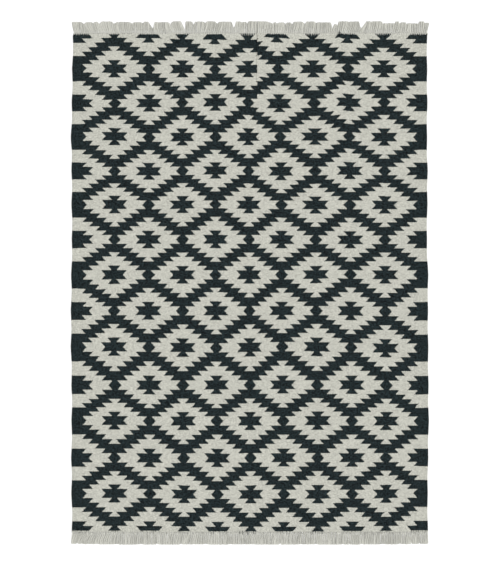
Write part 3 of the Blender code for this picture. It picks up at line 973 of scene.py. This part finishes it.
def tipOf(place, tufts, curves):
    # reach of a tip, its leans from the partings beside it and its distances from them: a lean is
    # how far, the reach at which it starts and the power of its curve
    for left, right in zip(tufts, tufts[1:]):
        if place < right[0]:
            break
    leftPlace, _, leftLean, leftOpens, leftReach, _, leftWidth, crown = left
    rightPlace, rightLean, _, rightOpens, rightReach, rightWidth, _, _ = right
    fromLeft, fromRight = place - leftPlace, rightPlace - place
    fallLeft = (crown - leftReach) * max(0.0, 1 - fromLeft / max(leftWidth, 0.1)) ** curves["fall"]
    fallRight = (crown - rightReach) * max(0.0, 1 - fromRight / max(rightWidth, 0.1)) ** curves["fall"]
    between = fromLeft / (rightPlace - leftPlace)
    leftCurve = curves["lean" if leftPlace else "left"]
    rightCurve = curves["right" if right is tufts[-1] else "lean"]
    leans = (((1 - between) ** 2 * leftLean, leftOpens, leftCurve),
             (-between ** 2 * rightLean, rightOpens, rightCurve))
    return crown - fallLeft - fallRight, leans, fromLeft, fromRight


def drawnFringe(side, tufts, sweep, seed, shape):
    # tone number and stations of every yarn: place, distance along, radius
    chance = random.Random(seed)
    pitch = 1000 * rug["width"] / rug["bundles"]
    last = 1000 * rug["width"] - 1
    endY, fromFar = clothEnd(side)
    endLeft, endRight = selvedge(-1, fromFar), selvedge(1, fromFar)
    inside = shape["insideCloth"]
    insetLeft, insetRight = shape["farInset"] if side > 0 else (0.0, 0.0)
    keptTone, toneChance = shape["bundleToneAndShade"]
    keptLean, leanChance = shape["bundleLean"]
    bundleToneAndShade = bundleLean = 0.0
    lowerLean, upperLean = shape["leanSpread"]
    dropStart, dropShare = shape["tipDrop"]
    layers = [(False, n) for n in range(shape["lowerYarns"])]
    layers += [(True, n) for n in range(shape["upperYarns"])]
    drawn = []
    for bundle in range(rug["bundles"]):
        bundleToneAndShade = keptTone * bundleToneAndShade + chance.uniform(-toneChance, toneChance)
        bundleLean = keptLean * bundleLean + chance.uniform(-leanChance, leanChance)
        for upper, inLayer in layers:
            inBundle = (inLayer + 0.5) / shape["upperYarns" if upper else "lowerYarns"] - 0.5
            middle = (bundle + 0.5) * pitch
            place = middle + inBundle * pitch * (shape["gathered"] if upper else 1.0)
            place = within(1.0, last, place + chance.uniform(-shape["placeSpread"], shape["placeSpread"]))
            rootX = middle + inBundle * pitch * shape["rootWidth"]
            fromRight = 1000 * rug["width"] - rootX
            rootX += (insetLeft * max(0.0, 1 - rootX / shape["insetLength"])
                      - insetRight * max(0.0, 1 - fromRight / shape["insetLength"]))
            swept = valueAt([lean for _, lean in sweep], placeAmong([spot for spot, _ in sweep], place))
            reach, leans, fromLeft, fromRight = tipOf(within(1.0, last, place + swept), tufts, tipCurves)
            reach += chance.gauss(0.0, 1.0) * shape["lengthSpread"]
            wander = noise.noise(Vector((place / shape["combLength"], seed * 1.7, 0.5)))
            comb = swept + shape["comb"] * wander + chance.uniform(-lowerLean, lowerLean)
            if upper:
                comb += bundleLean + chance.uniform(-upperLean, upperLean)
                for fall, distance in ((shape["parting"], fromLeft), (-shape["parting"], fromRight)):
                    fall *= max(0.0, 1 - distance / shape["partingWidth"])
                    leans += ((fall, shape["partingStart"], tipCurves["lean"]),)
            tone = 0.5 + bundleToneAndShade * shape["bundleShare"]
            tone += chance.uniform(-shape["toneSpread"], shape["toneSpread"])
            # painted shade on the lower yarns, painted light on the upper ones
            tone += shape["layerPaintedLight"][upper]
            radius = shape["radius"] * chance.uniform(*shape["radiusSpread"])
            rootAcross = 0.001 * rootX * (endLeft + endRight) / rug["width"] - endLeft
            rootZ = clothTop(rootAcross, fromFar) - creaseRise(rootAcross, fromFar)
            rootZ -= shape["underTop"][upper]
            stations = []
            for station in range(shape["stations"]):
                share = station / (shape["stations"] - 1)
                out = -inside + (reach + inside) * share
                combed = smoothStep(*shape["combed"], share) if upper else share ** shape["lowerCurve"]
                x = rootX + (place - rootX) * share + comb * combed
                for lean, opens, curve in leans:
                    opened = max(0.0, (out - opens) / max(1.0, reach - opens))
                    x += lean * opened ** curve
                drop = smoothStep(*shape["settles"], out)
                low = shape["upperLayer"] if upper else radius
                z = rootZ * (1 - drop) + low * drop
                if upper:
                    z += shape["crown"] * (1 - 4 * inBundle ** 2) * drop
                    z += (radius * 1.2 - low) * smoothStep(dropStart, 1.0, share) * dropShare
                across = 0.001 * x * (endLeft + endRight) / rug["width"] - endLeft
                if side > 0:
                    z = max(radius, z + creaseRise(across, -0.001 * out) * (1 - 0.4 * share))
                spot = (middleX + across, endY + side * 0.001 * out, z)
                thickness = 1.0 + shape["tipWidening"] * smoothStep(0.85, 1.0, share)
                stations.append((spot, 0.001 * (reach + inside) * share, radius * thickness))
            if side > 0:  # the crevice beside the crease lies in shade
                fromCrevice = abs(across - creaseLine(-0.001 * reach) + 0.003)
                tone -= (0.6 if upper else 1.0) * max(0.0, 1 - fromCrevice / shape["creviceWidth"])
            drawn.append((within(0, yarnFinish["tones"] - 1, int(tone * yarnFinish["tones"])), stations))
    return drawn


# Layout of the yarns' maps: start and girth of a yarn in its strip, size of its cut ends, longest yarn
yarnMap = {"start": 0.02, "girth": 0.96, "cutSize": 0.2, "cutDepth": 0.0006, "longest": 0.078}


def yarnPiece(name, drawn, finish, tube):
    # drawn holds each yarn's tone number and its stations: place, distance along, radius
    points, lines = [], []
    facts = {"alongYarn": [], "yarnRadius": [], "yarnTone": [], "yarnNumber": []}
    for number, (tone, stations) in enumerate(drawn):
        lines += [(n, n + 1) for n in range(len(points), len(points) + len(stations) - 1)]
        for place, along, radius in stations:
            points.append(place)
            for listed, value in zip(facts.values(), (along, radius, float(tone), float(number))):
                listed.append(value)
    mesh = newMesh(name, points, lines, [], facts)
    piece = grown(name, mesh, yarnTree, {**tube, "Finish": finish})
    drawYarnMaps(piece.data, tube["Sides"], yarnMap)
    print(name + ":", len(piece.data.polygons), "faces")
    return piece


def drawYarnMaps(mesh, sides, layout):
    # yarn holds tone number plus share round the yarn, and metres along it; OFBake is that made to fit
    values = {}
    for name in ("aroundYarn", "alongYarn", "yarnTone"):
        data = mesh.attributes[name].data
        values[name] = [0.0] * len(data)
        data.foreach_get("value", values[name])
    cornerVerts = [0] * len(mesh.loops)
    mesh.loops.foreach_get("vertex_index", cornerVerts)
    yarn, flat = [], []
    for polygon in mesh.polygons:
        corners = cornerVerts[polygon.loop_start:polygon.loop_start + polygon.loop_total]
        rounds = [values["aroundYarn"][v] for v in corners]
        wraps = max(rounds) - min(rounds) > 0.5
        for v, around in zip(corners, rounds):
            along = values["alongYarn"][v]
            if polygon.loop_total == sides:  # a yarn's cut end
                angle = 2 * math.pi * around
                around = 0.5 + layout["cutSize"] * math.cos(angle)
                along += layout["cutDepth"] * math.sin(angle)
            elif wraps and around < 0.5:
                around += 1.0
            across = values["yarnTone"][v] + layout["start"] + layout["girth"] * around
            yarn += (across, along)
            flat += (across / yarnFinish["tones"], layout["start"] + along / layout["longest"])
    addMaps(mesh, {"yarn": yarn, "OFBake": flat})


fringeFar = yarnPiece("fringeFar", drawnFringe(1, farTufts, farSweep, 11, fringeShape),
                      yarns["undyedCottonFar"], fringeShape["tube"])
fringeNear = yarnPiece("fringeNear", drawnFringe(-1, nearTufts, nearSweep, 23, fringeShape),
                       yarns["undyedCottonNear"], fringeShape["tube"])

# Each bundle comes up over the last wefts before it turns into the fringe
stitchShape = {
    "tube": {"Sides": 8, "Flatness": 0.55, "Seed": 5},
    # ranges of the loops' radius, of how far they reach into the cloth and out of it, and of their
    # tone number, then chance to either side in slant and place, and loops to a bundle
    "far": {"radius": (0.0014, 0.0024), "inside": (0.0026, 0.0060), "outside": (0.0060, 0.0070),
            "tones": (10, 24), "skew": 0.0010, "stray": 0.0004, "perBundle": 1},
    "near": {"radius": (0.0013, 0.0017), "inside": (0.0000, 0.0045), "outside": (0.0080, 0.0170),
             "tones": (0, 24), "skew": 0.0036, "stray": 0.0006, "perBundle": 2},
    "thinning": 0.05,  # for each millimetre that a loop reaches further in
    # share of the way out, height against the cloth's top, thickness
    "profile": ((0.0, -0.0012, 0.20), (0.15, -0.0001, 0.42), (0.45, 0.0005, 0.72),
                (0.75, 0.0004, 1.00), (0.90, -0.0007, 1.00), (1.0, -0.0022, 0.90)),
}


def drawnStitches(side, stitch, edge, seed, shape):
    chance = random.Random(seed)
    endY, fromFar = clothEnd(side)
    perBundle = stitch["perBundle"]
    pitch = rug["width"] / rug["bundles"]
    drawn = []
    for loop in range(rug["bundles"] * perBundle):
        place = (loop + 0.5) / perBundle * pitch
        across = place - selvedge(-1, fromFar) + chance.uniform(-stitch["stray"], stitch["stray"])
        _, deeper = endAt(1000 * place, edge)
        depth = chance.uniform(*stitch["inside"]) + 0.001 * deeper
        skew = chance.uniform(-stitch["skew"], stitch["skew"])
        radius = chance.uniform(*stitch["radius"]) * (1.1 - shape["thinning"] * deeper)
        tone = chance.randrange(*stitch["tones"])
        length = depth + chance.uniform(*stitch["outside"])
        stations = []
        for share, height, thickness in shape["profile"]:
            x = across + skew * share
            spot = (middleX + x, endY + side * (length * share - depth), clothTop(x, fromFar) + height)
            stations.append((spot, length * share, radius * thickness))
        drawn.append((tone, stations))
    return drawn


farLoops = drawnStitches(1, stitchShape["far"], endShape["far"], 31, stitchShape)
nearLoops = drawnStitches(-1, stitchShape["near"], endShape["near"], 37, stitchShape)
stitchesFar = yarnPiece("endStitchesFar", farLoops, yarns["undyedLoopsFar"], stitchShape["tube"])
stitchesNear = yarnPiece("endStitchesNear", nearLoops, yarns["undyedLoopsNear"], stitchShape["tube"])

# Ends of the dark weft stick out between the bundles here and there
tailShape = {
    "tube": {"Sides": 6, "Flatness": 1.0, "Seed": 6},
    "tone": 12,
    "inside": 4.0,  # millimetres
    # radius, then for each its place from the left selvedge, reach and lean to the right, in millimetres
    "far": (0.0013, ((1268, 7, -1.0), (1272, 17, 0.5), (1276, 9, 1.0), (1280, 6, 2.0))),
    "near": (0.0010, ((680, 11, 0.5), (806, 12, -1.0), (818, 15, 0.5), (843, 16, 1.0),
                      (871, 12, 1.5), (1151, 16, -0.5), (1168, 11, 1.0), (1199, 12, 0.0))),
    # share of the way out, height above the cloth's top
    "profile": ((0.0, 0.0002), (0.3, 0.0017), (0.7, 0.0016), (1.0, 0.0004)),
}


def drawnTails(shape):
    drawn = []
    for side, (radius, tails) in ((1, shape["far"]), (-1, shape["near"])):
        endY, fromFar = clothEnd(side)
        for place, reach, lean in tails:
            stations = []
            for share, height in shape["profile"]:
                out = (reach + shape["inside"]) * share
                x = 0.001 * (place + lean * share) - selvedge(-1, fromFar)
                y = endY + side * 0.001 * (out - shape["inside"])
                stations.append(((middleX + x, y, clothTop(x, fromFar) + height), 0.001 * out, radius))
            drawn.append((shape["tone"], stations))
    return drawn


weftEnds = yarnPiece("weftEnds", drawnTails(tailShape), yarns["darkWeftEnds"], tailShape["tube"])

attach(field, "root")
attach(weftEnds, "root")
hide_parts("woven_field")
for piece in (fringeFar, fringeNear, stitchesFar, stitchesNear):
    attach(piece, "root")
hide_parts("fringe_far")
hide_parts("fringe_near")

studio = {
    "floor": {"colour": (0.90, 0.90, 0.90, 1), "roughness": 0.9, "specular": 0.1},
    "floorSize": 40.0,
    "floorDrop": 0.0004,  # the floor lies this far below the rug
    "skyStrength": 0.86,
    "sunStrength": 1.9,
    "sunAngle": math.radians(35),
    "sunTilt": (math.radians(38), 0.0, math.radians(35)),
    "frameHeight": 566 * 4.7914e-3,  # metres of rug from the top to the bottom of the picture
    "lens": 100.0,
    "sensor": 36.0,
}


def layFloor(settings):
    half = settings["floorSize"] / 2
    low = -settings["floorDrop"]
    corners = [(-half, -half, low), (half, -half, low), (half, half, low), (-half, half, low)]
    material, tree, shader = startMaterial("paleFloor", settings["floor"])
    shader.inputs["Base Color"].default_value = settings["floor"]["colour"]
    mesh = newMesh("floor", corners, [], [(0, 1, 2, 3)])
    mesh.materials.append(material)
    addObject("floor", mesh)


def lightStudio(settings):
    world = bpy.data.worlds.new("softStudio")
    world.use_nodes = True
    background = world.node_tree.nodes["Background"]
    background.inputs["Color"].default_value = (1, 1, 1, 1)
    background.inputs["Strength"].default_value = settings["skyStrength"]
    bpy.context.scene.world = world
    lamp = bpy.data.lights.new("softSun", "SUN")
    lamp.energy = settings["sunStrength"]
    lamp.angle = settings["sunAngle"]
    addObject("softSun", lamp).rotation_euler = settings["sunTilt"]


def setCamera(settings):
    lens = bpy.data.cameras.new("overhead")
    lens.type = "PERSP"
    lens.lens = settings["lens"]
    lens.sensor_width = settings["sensor"]
    lens.clip_end = 100.0
    camera = addObject("overhead", lens)
    height = rug["thickness"] + settings["frameHeight"] * settings["lens"] / settings["sensor"]
    camera.location = (0.0, 0.0, height)
    bpy.context.scene.camera = camera


layFloor(studio)
lightStudio(studio)
setCamera(studio)
bpy.context.scene.view_settings.view_transform = "Standard"
print("studio ready")
